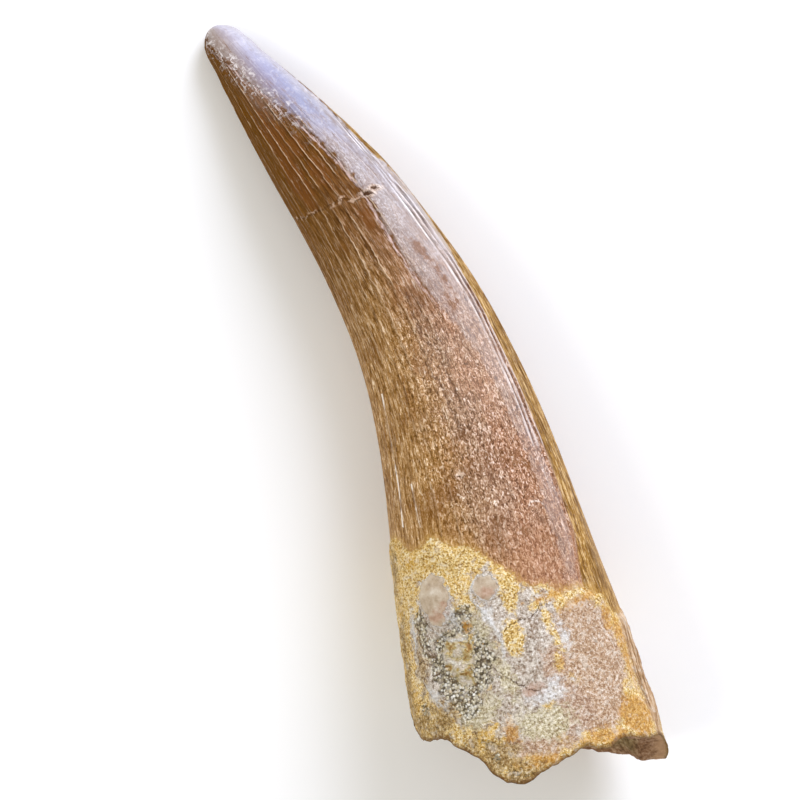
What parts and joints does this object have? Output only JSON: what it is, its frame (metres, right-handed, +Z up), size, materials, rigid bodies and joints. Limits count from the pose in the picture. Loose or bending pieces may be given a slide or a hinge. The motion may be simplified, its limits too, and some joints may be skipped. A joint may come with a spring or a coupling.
{
  "type": "fossil plesiosaur tooth",
  "caption": "Fossil marine reptile tooth lying on its side: a ribbed, curved enamel crown on a broken, sand-coated root.",
  "frame": {"origin": "under the middle of the tooth's bounding box, on the surface it lies on", "axes": "+Z up; +Y along the tooth's longest extent from the broken root to the tip; +X towards the outer, convex side of the bend"},
  "size_m": [0.0144, 0.0508, 0.0123],
  "materials": {
    "fossil_tooth": "glossy ribbed brown fossil enamel on the crown, dull ochre and grey cemented phosphate sand on the root, rough dark broken dentine inside"
  },
  "bodies": {
    "root": {"plesiosaur_tooth": "fossil_tooth"}
  },
  "joints": []
}
